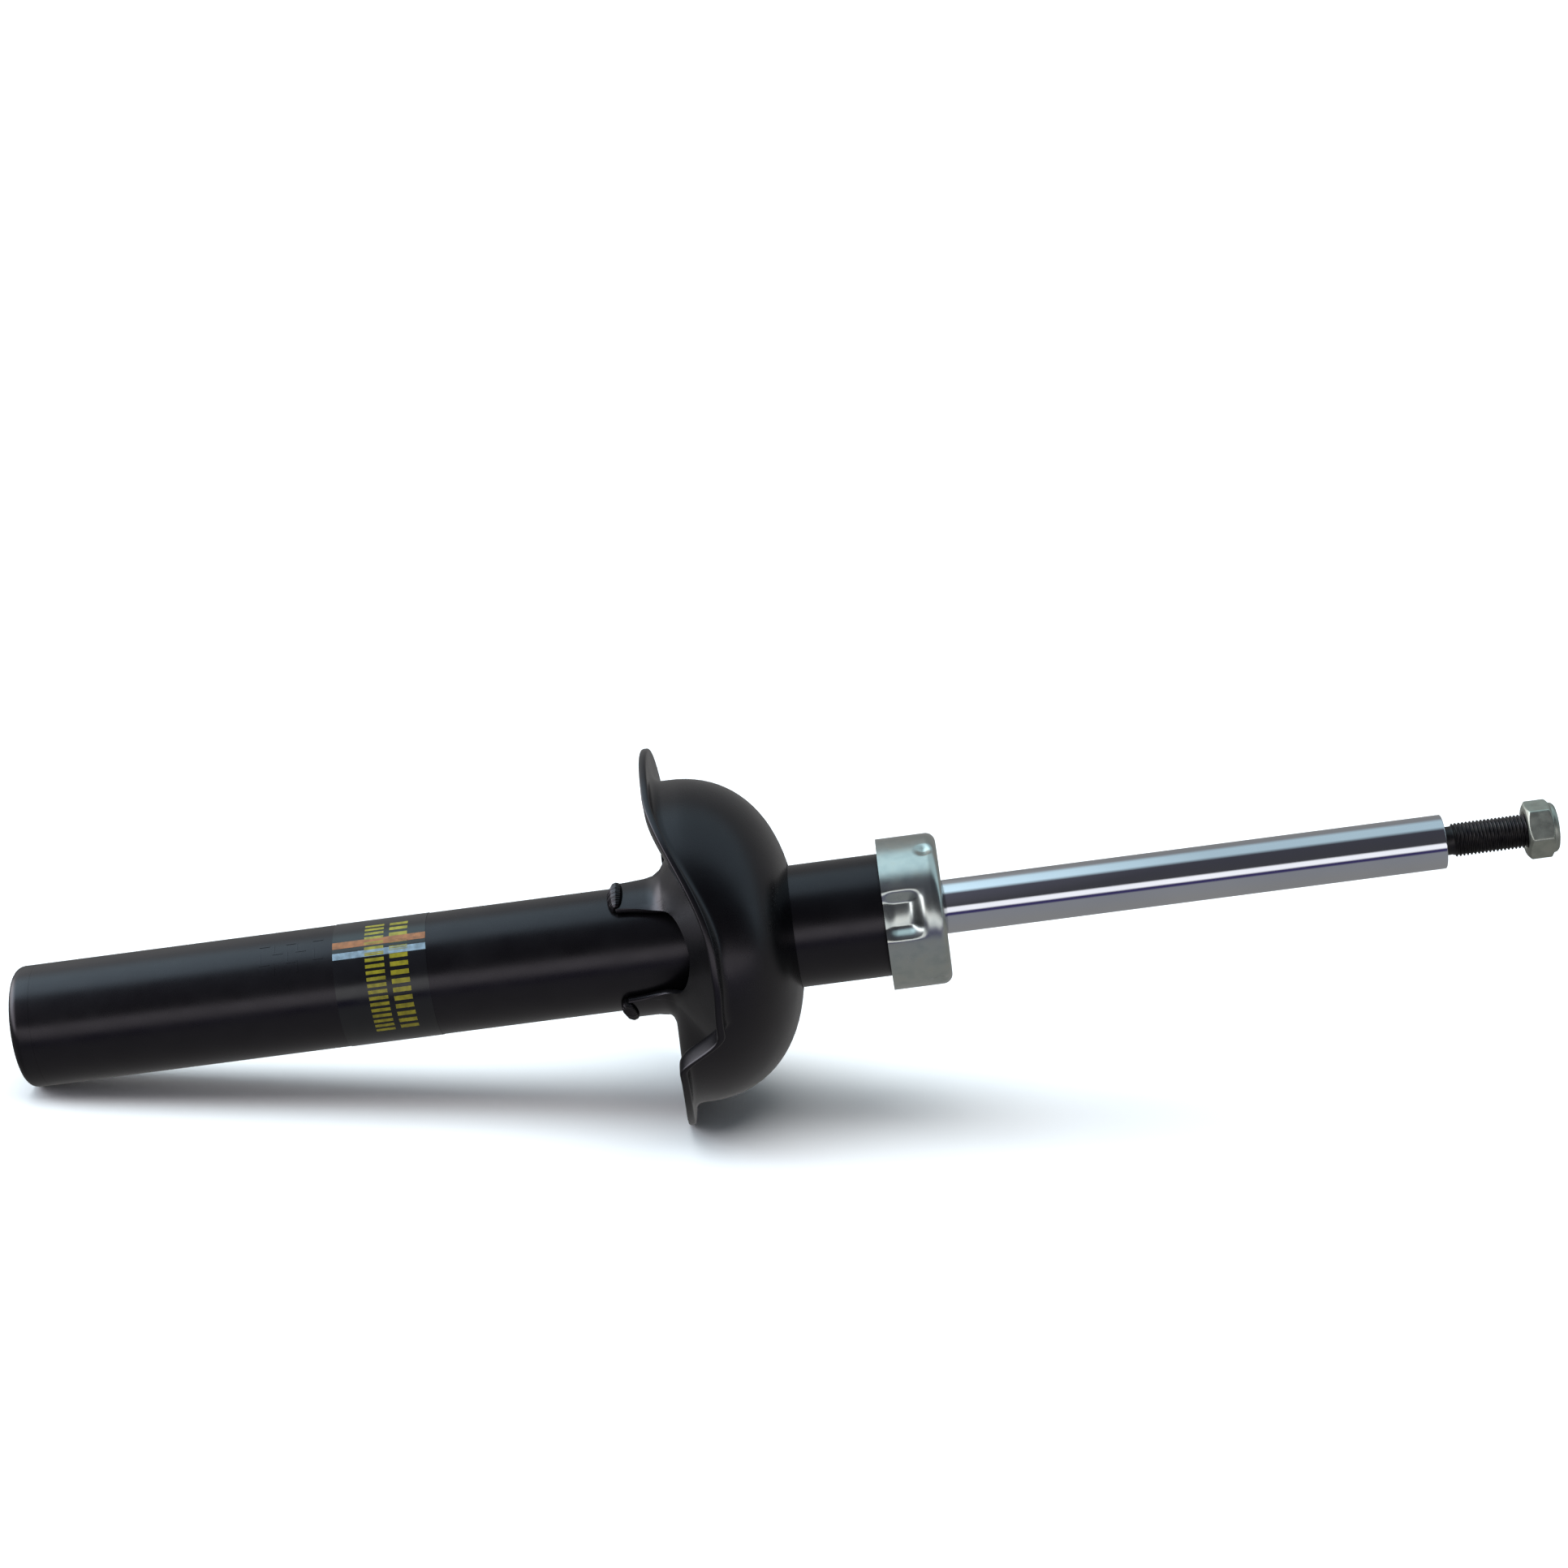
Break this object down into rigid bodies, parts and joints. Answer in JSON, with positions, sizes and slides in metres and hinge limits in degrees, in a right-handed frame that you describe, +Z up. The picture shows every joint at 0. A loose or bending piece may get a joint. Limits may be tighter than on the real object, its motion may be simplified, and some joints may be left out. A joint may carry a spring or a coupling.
{
  "type": "strut assembly",
  "caption": "Twin-tube gas suspension strut lying on its side: black tube with a helical spring seat, zinc bump cap, chromed piston rod, threaded stud and lock nut.",
  "frame": {"origin": "middle of the bounding box at the height of the surface the strut lies on", "axes": "+Z up, +X along the length towards the top nut, the strut axis rising at the lean angle in the XZ plane, -Y the front side"},
  "size_m": [0.6268, 0.155, 0.1469],
  "materials": {
    "black_paint": "satin",
    "zinc_plate": "zinc plated",
    "chrome_rod": "hard chrome, ground",
    "steel": "bright steel",
    "sintered_iron": "sintered",
    "bush_bronze": "plain bearing",
    "band_plastic": "filled PTFE",
    "rubber": "matt",
    "nylon": "plain",
    "label_film": "glossy film"
  },
  "bodies": {
    "barrel": {"base_cap": "black_paint", "outer_tube": "black_paint", "inner_cylinder": "steel", "rod_guide": "sintered_iron", "guide_bush": "bush_bronze", "guide_o_ring": "rubber", "rod_seal": "rubber", "seal_washer": "steel", "base_valve_body": "sintered_iron", "base_discs": "steel", "base_check_spring": "steel", "base_valve_bolt": "steel", "base_valve_nut": "steel", "bump_cap": "zinc_plate", "spring_seat": "black_paint", "seat_bracket": "black_paint", "seat_weld_1": "black_paint", "seat_weld_2": "black_paint", "seat_weld_3": "black_paint", "label_film": "label_film"},
    "band": {"piston_band": "band_plastic"},
    "rod": {"piston_rod": "chrome_rod", "rebound_stop": "steel", "rebound_buffer": "rubber", "piston": "sintered_iron", "piston_check_spring": "steel", "rebound_discs": "steel", "rebound_washer": "steel", "piston_nut": "steel"},
    "piston_check": {"piston_check_plate": "steel"},
    "base_check": {"base_check_plate": "steel"},
    "ring": {"nut_ring": "nylon"},
    "nut": {"top_nut": "zinc_plate"}
  },
  "joints": [
    {"name": "rod_slide", "type": "slide", "parent": "barrel", "child": "band", "axis": [0.9867, 0, 0.1628], "range_m": [-0.165, 0], "stiffness_N_per_m": 350, "springref_m": 0.5},
    {"name": "rod_turn", "type": "hinge", "parent": "band", "child": "rod", "pos_m": [0.13404, -0.00086, 0.09733], "axis": [0.9867, 0, 0.1628], "continuous": true},
    {"name": "nut_travel", "type": "slide", "parent": "rod", "child": "ring", "axis": [0.9867, 0, 0.1628], "range_m": [-0.03, 0]},
    {"name": "nut_turn", "type": "hinge", "parent": "ring", "child": "nut", "pos_m": [0.30572, -0.00086, 0.12566], "axis": [0.9867, 0, 0.1628], "range_deg": [-7205, 0]},
    {"name": "base_check_lift", "type": "slide", "parent": "barrel", "child": "base_check", "axis": [0.9867, 0, 0.1628], "range_m": [0, 0.0008], "stiffness_N_per_m": 400, "springref_m": -0.0004},
    {"name": "piston_check_lift", "type": "slide", "parent": "rod", "child": "piston_check", "axis": [0.9867, 0, 0.1628], "range_m": [0, 0.0008], "stiffness_N_per_m": 400, "springref_m": -0.0004}
  ],
  "couplings": [
    {"joint": "nut_turn", "follows": "nut_travel", "rad_per_m": 4188.8}
  ]
}
